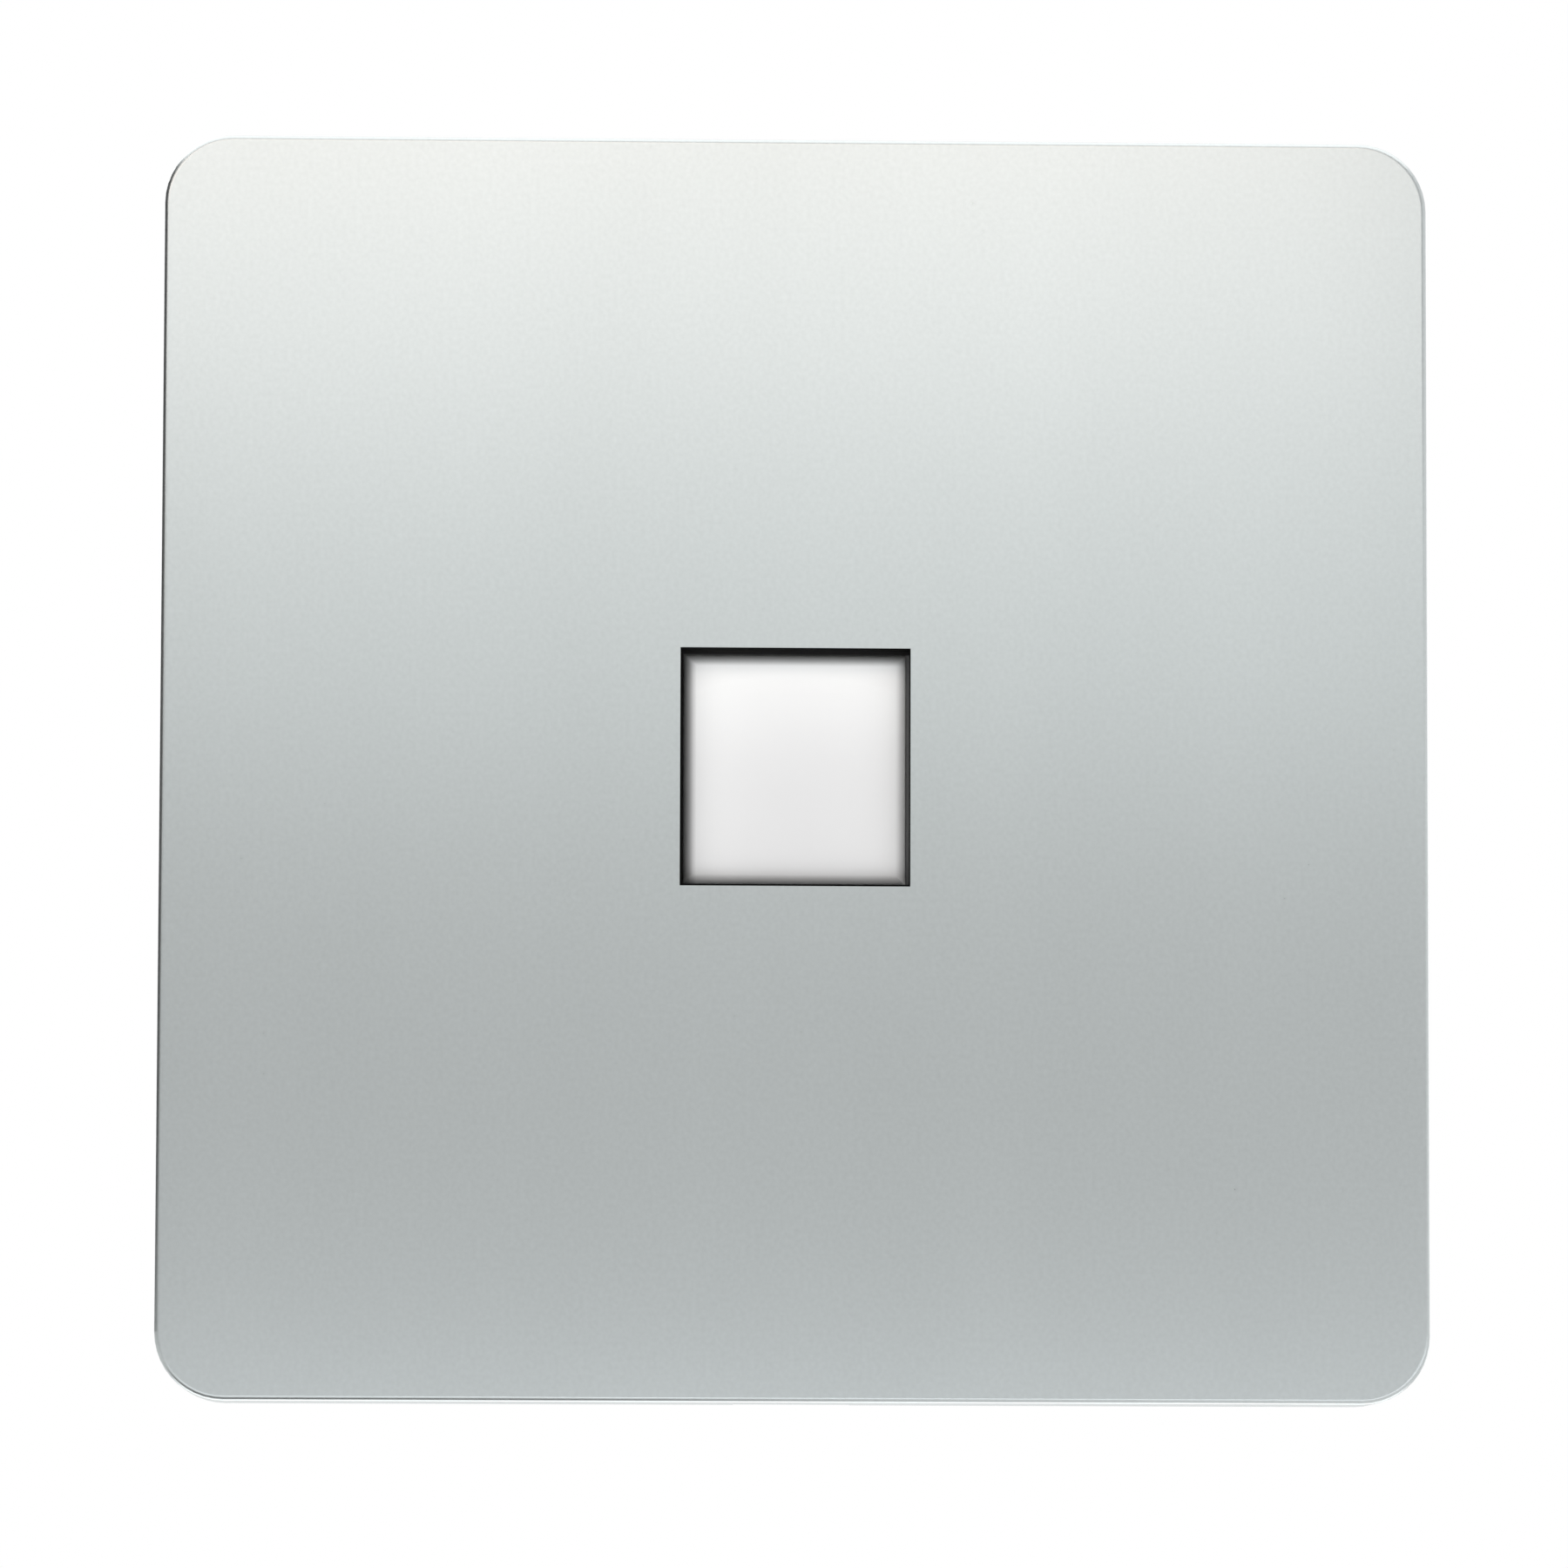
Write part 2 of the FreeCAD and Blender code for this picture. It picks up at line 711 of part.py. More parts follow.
def idc_contact(z):
    """A forked blade that cuts a wire's insulation, with a tail through the board."""
    half = blade_width / 2
    tail = blade_tail_width / 2
    end = board_back - blade_tail
    top = board_back + blade_length
    mouth = top - blade_mouth_depth
    root = top - blade_slot_depth
    side = [(end, tail), (board_back, tail), (board_back, half), (top, half), (top, blade_mouth / 2),
            (mouth, blade_slot / 2), (root, blade_slot / 2)]
    profile = side + [(y, -across) for y, across in reversed(side)]
    shifted = [(y, z + across) for y, across in profile]
    return prism_x(shifted, around(idc_x, blade_thickness / 2))


def fixing_screw():
    """A countersunk wall screw with a cross recess; its thread starts at the wall plane."""
    top = frame_front + head_sink
    rim = top + head_rim
    neck = rim + head_radius - screw_neck_radius
    end = top + screw_length
    profile = [(0, top), (head_radius, top), (head_radius, rim), (screw_neck_radius, neck),
               (screw_neck_radius, 0), (screw_radius, 0), (screw_radius, end - screw_point),
               (screw_radius / 2, end), (0, end), (0, top)]
    body = Part.Face(Part.makePolygon([V(r, y, 0) for r, y in profile])).revolve(ORIGIN, INTO_WALL, 360)
    level = (top, top + cross_depth)
    long = (-cross_length / 2, cross_length / 2)
    short = (-cross_width / 2, cross_width / 2)
    cross = [box(long, level, short), box(short, level, long)]
    return body.cut(cross).translated(V(screw_x, 0, 0))


def save(name, shape):
    """Write one piece as one solid, cleaned of the seams between joined faces."""
    clean = shape.removeSplitter()
    solid = clean.Solids[0] if len(clean.Solids) == 1 else clean
    print(name, len(clean.Solids), "solid", round(clean.Volume, 2), "mm3", "valid", clean.isValid())
    solid.exportStep(os.path.join("parts", name + ".step"))


def save_pair(name, shape):
    """A piece modelled on the right, and its twin on the left."""
    save(name + "_right", shape)
    save(name + "_left", other_side(shape))


os.makedirs("parts", exist_ok=True)
save("front_plate", front_plate())
save("mounting_frame", mounting_frame())
save("module_front", module_front())
save("jack_holder", jack_holder())
save("shutter", shutter())
save_pair("shutter_spring", shutter_spring())
save("jack_housing", jack_housing())
save("contact_carrier", contact_carrier())
for number in range(8):
    save("jack_contact_" + str(number + 1), jack_contact(number))
save("circuit_board", circuit_board())
save_pair("idc_block", idc_block())
for number, place in enumerate(wire_places):
    blade = idc_contact(place)
    save("idc_contact_" + str(number + 1), other_side(blade))
    save("idc_contact_" + str(number + 5), blade)
save_pair("fixing_screw", fixing_screw())
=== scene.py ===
import json
import math

import bpy
from mathutils import Matrix, Vector

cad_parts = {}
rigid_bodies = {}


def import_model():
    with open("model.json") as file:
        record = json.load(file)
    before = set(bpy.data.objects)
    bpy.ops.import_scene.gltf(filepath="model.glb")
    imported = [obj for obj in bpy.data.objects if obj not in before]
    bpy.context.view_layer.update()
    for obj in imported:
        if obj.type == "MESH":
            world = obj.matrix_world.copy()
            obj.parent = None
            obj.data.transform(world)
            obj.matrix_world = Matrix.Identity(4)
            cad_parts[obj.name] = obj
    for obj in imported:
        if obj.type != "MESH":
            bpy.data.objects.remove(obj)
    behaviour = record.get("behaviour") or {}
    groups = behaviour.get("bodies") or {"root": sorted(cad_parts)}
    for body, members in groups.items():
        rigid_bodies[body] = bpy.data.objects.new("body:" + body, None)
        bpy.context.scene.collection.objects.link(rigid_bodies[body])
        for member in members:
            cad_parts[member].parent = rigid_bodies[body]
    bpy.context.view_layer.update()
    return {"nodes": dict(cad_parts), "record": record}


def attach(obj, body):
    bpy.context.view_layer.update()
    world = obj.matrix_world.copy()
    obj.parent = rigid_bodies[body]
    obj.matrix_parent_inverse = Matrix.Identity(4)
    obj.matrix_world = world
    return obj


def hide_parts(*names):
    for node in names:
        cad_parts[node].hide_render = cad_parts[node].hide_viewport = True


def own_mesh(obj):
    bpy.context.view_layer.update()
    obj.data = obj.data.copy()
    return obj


# A one-gang data wall socket: satin silver cover, white sliding shutter, and behind them the
# mounting frame, the jack, its circuit board and the wire terminals. Lengths are written in
# millimetres and multiplied by mm. X is to the right, Y goes into the wall and Z is up.
mm = 0.001
mm_in_metre = 1000

for spare in list(bpy.data.objects):
    bpy.data.objects.remove(spare)
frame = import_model()
nodes = frame["nodes"]
bpy.ops.object.select_all(action="DESELECT")

# The cover and its opening, and the raised pad of the shutter that stands in the opening.
plate_front = -6.0
cover_inner_half = 41.8
opening_half = (7.9, 8.2)
pad_half = (7.68, 7.98)

# Levels of the frame's web, the module's back plate and the circuit board.
frame_web_back = -2.6
holder_front = -1.8
holder_back = 0.2
board_front = 11.8
board_back = 13.4

# Places of the wire terminals, the contacts' tails, the wall screws and the shutter's springs.
terminal_x = 7.4
terminal_rows = (-5.85, -1.95, 1.95, 5.85)
tail_pitch = 1.02
tail_rows = (5.4, 2.86)
screw_x = 30.15
head_top = -3.9
screw_tip = 21.0
spring_place = (9.9, -2.0)
spring_foot = -14.5
spring_length = 19.5


class Shade:
    """A shader socket that takes part in plain arithmetic."""

    def __init__(self, recipe, socket):
        self.recipe = recipe
        self.socket = socket

    def maths(self, operation, *values):
        return self.recipe.node("Math", {"operation": operation}, *values)

    def __add__(self, other):
        return self.maths("ADD", self, other)

    def __radd__(self, other):
        return self.maths("ADD", other, self)

    def __sub__(self, other):
        return self.maths("SUBTRACT", self, other)

    def __rsub__(self, other):
        return self.maths("SUBTRACT", other, self)

    def __mul__(self, other):
        return self.maths("MULTIPLY", self, other)

    def __rmul__(self, other):
        return self.maths("MULTIPLY", other, self)

    def __truediv__(self, other):
        return self.maths("DIVIDE", self, other)

    def __lt__(self, other):
        return self.maths("LESS_THAN", self, other)

    def __gt__(self, other):
        return self.maths("GREATER_THAN", self, other)

    def __abs__(self):
        return self.maths("ABSOLUTE", self)

    def larger(self, other):
        return self.maths("MAXIMUM", self, other)

    def smaller(self, other):
        return self.maths("MINIMUM", self, other)

    def between(self, low, high):
        """One inside a range and nothing outside it."""
        return (self > low) * (self < high)


class Recipe:
    """The shader nodes of one material, or of the world."""

    def __init__(self, owner):
        owner.use_nodes = True
        self.owner = owner
        self.nodes = owner.node_tree.nodes
        self.links = owner.node_tree.links
        self.nodes.clear()

    def plug(self, socket, value):
        """Give a socket a link, a colour or a number."""
        if isinstance(value, Shade):
            self.links.new(value.socket, socket)
        elif socket.type == "RGBA":
            socket.default_value = (*value, 1)
        else:
            socket.default_value = value

    def node(self, kind, settings=None, *values, out=0, **named):
        """Add a node: its settings first, then its sockets by order, past any None, or by name."""
        made = self.nodes.new("ShaderNode" + kind)
        for key, value in (settings or {}).items():
            setattr(made, key, value)
        for number, value in enumerate(values):
            if value is not None:
                self.plug(made.inputs[number], value)
        for name, value in named.items():
            self.plug(made.inputs[name.replace("_", " ")], value)
        return Shade(self, made.outputs[out]) if made.outputs else made

    def mix(self, factor, first, second):
        """The first colour where the factor is nothing, and the second where it is one."""
        other_types = [None] * 5
        values = (factor, *other_types, first, second)
        return self.node("Mix", {"data_type": "RGBA"}, *values, out=2)

    def rays(self, first, *others):
        """One for rays of these kinds, and nothing for the rest."""
        seen = self.node("LightPath", {}, out="Is " + first + " Ray")
        for kind in others:
            seen = seen.larger(self.node("LightPath", {}, out="Is " + kind + " Ray"))
        return seen


class Paint(Recipe):
    """A material under construction, in millimetres of the piece's own object space."""

    def __init__(self, name):
        super().__init__(bpy.data.materials.new(name))
        self.place = self.node("TexCoord", out="Object")
        parts = [self.node("SeparateXYZ", {}, self.place, out=axis) for axis in "XYZ"]
        self.x, self.y, self.z = (part * mm_in_metre for part in parts)

    def noise(self, per_mm, detail=2.0, stretch=(1, 1, 1)):
        """Soft noise with that many grains to a millimetre, drawn out along the axes."""
        scaled = self.node("Mapping", {}, Vector=self.place, Scale=stretch)
        scale = per_mm * mm_in_metre
        return self.node("TexNoise", {}, Vector=scaled, Scale=scale, Detail=detail, out="Fac")

    def bump(self, height, depth, strength):
        """Turn heights into a bump of a depth in millimetres."""
        return self.node("Bump", {}, Height=height, Strength=strength, Distance=depth * mm)

    def surface(self, colour, roughness, metallic, normal, **more):
        """Finish the material with the main shader."""
        sockets = {"Base_Color": colour, "Roughness": roughness, "Metallic": metallic}
        shader = self.node("BsdfPrincipled", {}, **sockets, Normal=normal, **more)
        self.node("OutputMaterial", {}, Surface=shader)
        return self.owner


def silver_cover():
    """Satin silver lacquer over black moulded plastic, which is bare inside and at the wall."""
    paint = Paint("cover_silver")
    low, high = (0.504, 0.536, 0.536), (0.552, 0.586, 0.586)
    metal, satin, plastic_rough = 0.85, 0.26, 0.45
    behind_face, before_wall = 0.03, 0.06
    across = abs(paint.x).larger(abs(paint.z))
    inside = (across < cover_inner_half) * (paint.y > plate_front + behind_face)
    bare = inside.larger(paint.y > -before_wall)
    grain = paint.noise(3, 4)
    clouds = paint.noise(0.05, 3, (1, 1, 0.6))
    streaks = paint.noise(0.09, 2, (1, 1, 0.12))
    lacquer = paint.mix((grain - 0.5) * 1.8 + clouds * 0.5 + streaks * 0.5, low, high)
    colour = paint.mix(bare, lacquer, (0.012, 0.012, 0.013))
    rough = (grain * 0.06 + satin) * (1 - bare) + bare * plastic_rough
    return paint.surface(colour, rough, (1 - bare) * metal, paint.bump(grain, 0.004, 0.5))


def moulded(name, low, high, roughness, pins=()):
    """Moulded plastic with faint flow clouds, an eroded grain and the marks of ejector pins."""
    paint = Paint(name)
    grain_depth, pin_depth = 0.012, 5
    level_reach, line_half = 0.1, 0.1
    dark = [tone * 0.5 for tone in low]
    clouds = paint.noise(0.12, 4, (1, 1, 0.4))
    fine = paint.noise(6, 3)
    height = fine
    colour = paint.mix(clouds * 0.8 + fine * 0.2, low, high)
    for x, z, radius, level in pins:
        across, up = abs(paint.x) - x, abs(paint.z) - z
        reach = across * across + up * up
        on_face = paint.y.between(level - level_reach, level + level_reach)
        height = height - (reach < radius * radius) * on_face * pin_depth
        line = reach.between((radius - line_half) ** 2, (radius + line_half) ** 2) * on_face
        colour = paint.mix(line * 0.35, colour, dark)
    bump = paint.bump(height, grain_depth, 0.6)
    return paint.surface(colour, fine * 0.12 + roughness, 0.0, bump)


def opening_black():
    """Dead black soft lip round the opening, with hardly any gloss, so that it reads as the shadow
    line there.
    """
    paint = Paint("opening_black")
    fine = paint.noise(8, 3)
    colour = paint.mix(fine, (0.002, 0.002, 0.002), (0.004, 0.004, 0.004))
    bump = paint.bump(fine, 0.01, 0.6)
    return paint.surface(colour, fine * 0.1 + 0.8, 0.0, bump, Specular_IOR_Level=0.05)


def shutter_paint():
    """White gloss plastic with painted light: shaded greyer below and lighter at the sides, and a
    painted shadow close round the pad and on its upper and left rim.
    """
    paint = Paint("shutter_white")
    painted_light_foot, painted_light_length, painted_side_light = -4.5, 11, 0.006
    painted_shadow_width, painted_shadow_past_top = 0.95, 0.12
    groove_inset, groove_shade_strength, groove_width = 0.03, 0.85, 0.5
    fine = paint.noise(6, 3)
    # Painted light: greyer towards the bottom as the lamps light it, and lighter towards the sides
    # against the shade of the opening's walls.
    height = ((paint.z - painted_light_foot) / painted_light_length).larger(0).smaller(1)
    painted_light_level = height * height * height + paint.x * paint.x * painted_side_light + fine * 0.02
    white = paint.mix(painted_light_level, (0.71, 0.714, 0.72), (0.99, 1.0, 1.0))
    # Painted shadow along the pad's upper and left rim, and painted shade in the groove close round
    # the pad, on its front only.
    to_painted_shadow = (paint.x + pad_half[0]).smaller(pad_half[1] + painted_shadow_past_top - paint.z)
    outside = (abs(paint.x) - pad_half[0]).larger(abs(paint.z) - pad_half[1])
    groove_shade = (outside > -groove_inset) * groove_shade_strength
    painted_shadow = (1 - to_painted_shadow / painted_shadow_width).larger(groove_shade).smaller(1)
    near = (outside < groove_width) * (paint.y < holder_front)
    colour = paint.mix(painted_shadow * near, white, (0.008, 0.008, 0.008))
    return paint.surface(colour, fine * 0.1 + 0.26, 0.0, paint.bump(fine, 0.003, 0.5))


def drawn_metal(name, low, high, roughness, stretch, per_mm):
    """Plated metal with fine lines along the way that it was rolled or drawn."""
    paint = Paint(name)
    lines = paint.noise(per_mm, 2, stretch)
    clouds = paint.noise(0.8, 3)
    colour = paint.mix(lines * 0.5 + clouds * 0.5, low, high)
    return paint.surface(colour, lines * 0.15 + roughness, 1.0, paint.bump(lines, 0.003, 0.5))


def laminate():
    """Green solder mask on both faces, bare glass laminate at the edges, white outlines."""
    paint = Paint("board_green")
    block_half, jack_half, jack_middle = (3.35, 8.35), (8.0, 7.1), 0.5
    ink_width, ink_reach, edge_inset = 0.15, 0.2, 0.05
    weave = paint.noise(3, 2, (1, 1, 0.2)) * 0.5 + paint.noise(3, 2, (0.2, 1, 1)) * 0.5
    mask = paint.mix(weave, (0.008, 0.11, 0.045), (0.015, 0.17, 0.07))
    block_x, block_z = abs(abs(paint.x) - terminal_x), abs(paint.z)
    jack_x, jack_z = abs(paint.x), abs(paint.z - jack_middle)
    round_block = (block_x - block_half[0]).larger(block_z - block_half[1])
    round_jack = (jack_x - jack_half[0]).larger(jack_z - jack_half[1])
    rear = (paint.y > board_back - ink_reach) * round_block.between(0, ink_width)
    face = (paint.y < board_front + ink_reach) * round_jack.between(0, ink_width)
    side = paint.y.between(board_front + edge_inset, board_back - edge_inset)
    colour = paint.mix(rear.larger(face), mask, (0.80, 0.80, 0.77))
    colour = paint.mix(side, colour, (0.42, 0.40, 0.17))
    rough = weave * 0.1 + 0.22 + side * 0.4
    return paint.surface(colour, rough, 0.0, paint.bump(weave, 0.01, 0.3))


def copper_under_mask():
    """Solder mask over copper: a lighter, glossier green than on the bare laminate."""
    paint = Paint("trace_green")
    fine = paint.noise(4, 2)
    colour = paint.mix(fine, (0.03, 0.24, 0.09), (0.05, 0.30, 0.12))
    return paint.surface(colour, fine * 0.06 + 0.2, 0.0, paint.bump(fine, 0.004, 0.4))


# Pin marks on the frame's web and on the module's back plate: across, up, radius and level.
frame_pins = [(x, z, 1.5, frame_web_back) for x, z in ((30, 10), (21, 36), (34, 25))]
holder_pins = [(7.5, 20.5, 1.0, holder_back)]

# Plastics: darker and lighter tone, roughness, pin marks.
plastics = (
    ("frame_grey", (0.26, 0.27, 0.275), (0.32, 0.33, 0.335), 0.46, frame_pins),
    ("module_white", (0.80, 0.80, 0.78), (0.84, 0.84, 0.82), 0.32),
    ("holder_white", (0.76, 0.76, 0.74), (0.80, 0.80, 0.78), 0.42, holder_pins),
    ("jack_black", (0.014, 0.014, 0.015), (0.022, 0.022, 0.023), 0.38),
    ("carrier_black", (0.018, 0.018, 0.018), (0.028, 0.028, 0.027), 0.44),
    ("idc_cream", (0.74, 0.70, 0.58), (0.80, 0.76, 0.64), 0.34),
)
# Metals: darker and lighter tone, roughness, stretch of the lines and how many to a millimetre.
metals = (
    ("spring_steel", (0.50, 0.49, 0.47), (0.62, 0.61, 0.59), 0.22, (1, 1, 0.3), 18),
    ("contact_gold", (0.80, 0.58, 0.24), (0.90, 0.68, 0.32), 0.16, (1, 0.05, 1), 18),
    ("idc_tin", (0.66, 0.66, 0.66), (0.78, 0.78, 0.78), 0.24, (1, 0.08, 1), 18),
    ("screw_zinc", (0.40, 0.41, 0.43), (0.50, 0.51, 0.51), 0.27, (1, 0.3, 1), 6),
)
finishes = {plastic[0]: moulded(*plastic) for plastic in plastics}
for metal in metals:
    finishes[metal[0]] = drawn_metal(*metal)
finishes["cover_silver"] = silver_cover()
finishes["shutter_white"] = shutter_paint()
finishes["board_green"] = laminate()
for part in frame["record"]["subparts"]:
    mesh = nodes[part["node"]].data
    mesh.materials.clear()
    mesh.materials.append(finishes[part["material_slot"]])


def take(*pieces):
    """Select these pieces alone, the first of them active."""
    bpy.ops.object.select_all(action="DESELECT")
    for piece in pieces:
        piece.select_set(True)
    bpy.context.view_layer.objects.active = pieces[0]


def edit():
    """Open the active piece for editing, with all of it selected."""
    bpy.ops.object.mode_set(mode="EDIT")
    bpy.ops.mesh.select_all(action="SELECT")


def edit_above(piece, height):
    """Open the active piece for editing, with only its corners above a height selected."""
    bpy.ops.object.mode_set(mode="EDIT")
    bpy.ops.mesh.select_all(action="DESELECT")
    done()
    for corner in piece.data.vertices:
        corner.select = corner.co.z > height * mm
    bpy.ops.object.mode_set(mode="EDIT")


def done():
    bpy.ops.object.mode_set(mode="OBJECT")


def fix_place():
    """Put the place, turn and size of the selected pieces into their meshes."""
    bpy.ops.object.transform_apply(location=True, rotation=True, scale=True)


def apply_all(piece):
    """Apply the modifiers in order, then the place, so that it is all in the mesh."""
    take(piece)
    for modifier in list(piece.modifiers):
        bpy.ops.object.modifier_apply(modifier=modifier.name)
    fix_place()


def add_modifier(piece, kind, **settings):
    modifier = piece.modifiers.new(kind.lower(), kind)
    for key, value in settings.items():
        setattr(modifier, key, value)


def finish_piece(piece, name, finish, smooth=35):
    """Name, paint and mount a finished piece, smooth where its faces meet at a low angle."""
    piece.name = name
    piece.data.name = name
    take(piece)
    bpy.ops.object.shade_smooth_by_angle(angle=math.radians(smooth))
    piece.data.materials.clear()
    piece.data.materials.append(finish)
    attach(piece, "socket")


def face_outwards():
    """Turn the normals of the piece in edit mode outwards."""
    bpy.ops.mesh.select_all(action="SELECT")
    bpy.ops.mesh.normals_make_consistent(inside=False)


def joined(pieces):
    take(*pieces)
    bpy.ops.object.join()
    return bpy.context.object


def copied(piece, move):
    """A copy of a piece with its own mesh, moved by millimetres."""
    take(piece)
    bpy.ops.object.duplicate()
    other = bpy.context.object
    other.location = [v * mm for v in move]
    apply_all(other)
    return other


def turned(levels, segments=48):
    """A solid turned about Z from pairs of radius and height, flat at both ends."""
    radius, height = levels[0]
    foot = (0, 0, height * mm)
    bpy.ops.mesh.primitive_circle_add(
        vertices=segments, radius=radius * mm, fill_type="NGON", location=foot
    )
    piece = bpy.context.object
    fix_place()
    edit()
    for next_radius, next_height in levels[1:]:
        rise = {"value": (0, 0, (next_height - height) * mm)}
        bpy.ops.mesh.extrude_region_move(TRANSFORM_OT_translate=rise)
        growth = next_radius / radius
        bpy.ops.transform.resize(value=(growth, growth, 1), center_override=(0, 0, 0))
        radius, height = next_radius, next_height
    face_outwards()
    done()
    return piece


def wound(corners, size, radius, foot, pitch, turns, steps, squeeze=1.0):
    """A helix about Z with a round or diamond section, open at both ends."""
    start = (radius * mm, 0, foot * mm)
    bpy.ops.mesh.primitive_circle_add(
        vertices=corners, radius=size * mm, location=start, rotation=(math.pi / 2, 0, 0)
    )
    piece = bpy.context.object
    apply_all(piece)
    edit()
    bpy.ops.transform.resize(value=(1, 1, squeeze), center_override=(0, 0, foot * mm))
    done()
    rise = {"screw_offset": pitch * mm, "iterations": turns}
    add_modifier(piece, "SCREW", steps=steps, render_steps=steps, **rise)
    apply_all(piece)
    return piece


def closed(piece, corners):
    """Weld a winding and close its two ends."""
    weld = 0.004
    take(piece)
    edit()
    bpy.ops.mesh.remove_doubles(threshold=weld * mm)
    bpy.ops.mesh.fill_holes(sides=corners)
    face_outwards()
    done()
    return piece


def opening_liner():
    """A thin black frame that lines the opening and is also a dark piece where the shadow line
    round the opening falls, set a hair off centre so that it is wider on the left and below.
    """
    wall, depth, set_back = 0.1, 1.44, 0.04
    across, up = 0.06, 0.03
    face = (0, (plate_front + set_back) * mm, 0)
    bpy.ops.mesh.primitive_plane_add(size=1, location=face, rotation=(math.pi / 2, 0, 0))
    piece = bpy.context.object
    piece.scale = (2 * opening_half[0] * mm, 2 * opening_half[1] * mm, 1)
    fix_place()
    edit()
    bpy.ops.mesh.inset(thickness=wall * mm)
    bpy.ops.transform.translate(value=(across * mm, 0, up * mm))
    bpy.ops.mesh.delete(type="FACE")
    done()
    add_modifier(piece, "SOLIDIFY", thickness=depth * mm, offset=-1)
    add_modifier(piece, "BEVEL", width=0.03 * mm, segments=2, limit_method="ANGLE")
    apply_all(piece)
    finish_piece(piece, "opening_liner", opening_black())


def shutter_springs():
    """Round-wire springs under the shutter's ears, with a closed coil at each end."""
    wire, radius, corners, steps = 0.25, 0.975, 12, 20
    end_pitch, active_turns = 0.27, 9
    active_pitch = (spring_length - wire - 2 * end_pitch) / active_turns
    foot = spring_foot + wire / 2
    head = foot + end_pitch + active_turns * active_pitch
    parts = [
        wound(corners, wire / 2, radius, foot, end_pitch, 1, steps),
        wound(corners, wire / 2, radius, foot + end_pitch, active_pitch, active_turns, steps),
        wound(corners, wire / 2, radius, head, end_pitch, 1, steps),
    ]
    piece = closed(joined(parts), corners)
    piece.location = (-spring_place[0] * mm, spring_place[1] * mm, 0)
    apply_all(piece)
    other = copied(piece, (2 * spring_place[0], 0, 0))
    steel = finishes["spring_steel"]
    for spring, side in ((piece, "left"), (other, "right")):
        finish_piece(spring, "round_wire_spring_" + side, steel, 50)
        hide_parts("shutter_spring_" + side)
        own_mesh(spring)


def cross_recess(core):
    """Cut two crossing slots that narrow with depth into the head of a screw."""
    slot_length, slot_width, slot_height = 4.0, 0.82, 2.4
    middle, narrow_above, narrow_about = head_top + 0.4, head_top + 1, head_top + 1.6
    for turn in (0, math.pi / 2):
        place = (0, 0, middle * mm)
        bpy.ops.mesh.primitive_cube_add(size=1, location=place, rotation=(0, 0, turn))
        cutter = bpy.context.object
        cutter.scale = (slot_length * mm, slot_width * mm, slot_height * mm)
        fix_place()
        edit_above(cutter, narrow_above)
        centre = (0, 0, narrow_about * mm)
        bpy.ops.transform.resize(value=(0.5, 0.5, 1), center_override=centre)
        done()
        add_modifier(core, "BOOLEAN", operation="DIFFERENCE", solver="EXACT", object=cutter)
        apply_all(core)
        bpy.data.objects.remove(cutter)


def wall_screws():
    """Zinc-plated countersunk screws with a cross recess and a cut thread."""
    core = turned([
        (3.36, head_top), (3.46, head_top + 0.05), (3.5, head_top + 0.12),
        (3.5, head_top + 0.25), (1.55, head_top + 2.2), (1.55, 0.2), (1.3, 0.5),
        (1.3, screw_tip - 0.8), (0.75, screw_tip),
    ])
    cross_recess(core)
    pitch, thread_foot, thread_short = 0.6, 0.75, 1.9
    thread_size, thread_radius, squeeze = 0.5, 1.25, 0.55
    turns = int((screw_tip - thread_short) / pitch)
    ridge = wound(4, thread_size, thread_radius, thread_foot, pitch, turns, 24, squeeze)
    piece = joined([core, closed(ridge, 4)])
    piece.rotation_euler = (-math.pi / 2, 0, 0)
    piece.location = (-screw_x * mm, 0, 0)
    apply_all(piece)
    other = copied(piece, (2 * screw_x, 0, 0))
    zinc = finishes["screw_zinc"]
    for screw, side in ((piece, "left"), (other, "right")):
        finish_piece(screw, "threaded_screw_" + side, zinc, 30)
        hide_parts("fixing_screw_" + side)


def soldered(name, fillet, tails, level, turn, size):
    """One piece with a fillet of solder at each tail, on one face of the board."""
    joints = []
    for x, z in tails:
        joint = copied(fillet, (0, 0, 0))
        joint.scale = size
        joint.rotation_euler = (turn, 0, 0)
        joint.location = (x * mm, level * mm, z * mm)
        apply_all(joint)
        joints.append(joint)
    finish_piece(joined(joints), name, finishes["idc_tin"], 60)


def solder_joints():
    """Solder round each contact's tail behind the board and each terminal's tail before it."""
    sides = 20
    fillet = turned(
        [(0.56, -0.02), (0.54, 0.05), (0.38, 0.14), (0.29, 0.3), (0.25, 0.46), (0.16, 0.5)], sides
    )
    contacts = [((i - 3.5) * tail_pitch, tail_rows[i % 2]) for i in range(8)]
    terminals = [(x, z) for x in (-terminal_x, terminal_x) for z in terminal_rows]
    soldered("contact_solder", fillet, contacts, board_back, -math.pi / 2, (1, 1, 1))
    soldered("terminal_solder", fillet, terminals, board_front, math.pi / 2, (1.15, 1.35, 0.8))
    bpy.data.objects.remove(fillet)


def chain(points, radius):
    """A round wire through points, made of straight runs."""
    bpy.ops.mesh.primitive_plane_add(size=0.1 * mm, location=[v * mm for v in points[0]])
    piece = bpy.context.object
    fix_place()
    edit()
    bpy.ops.mesh.merge(type="CENTER")
    for last, point in zip(points, points[1:]):
        leg = {"value": [(b - a) * mm for a, b in zip(last, point)]}
        bpy.ops.mesh.extrude_vertices_move(TRANSFORM_OT_translate=leg)
    done()
    bpy.ops.object.convert(target="CURVE")
    piece = bpy.context.object
    piece.data.bevel_depth = radius * mm
    piece.data.bevel_resolution = 2
    piece.data.use_fill_caps = True
    bpy.ops.object.convert(target="MESH")
    return bpy.context.object


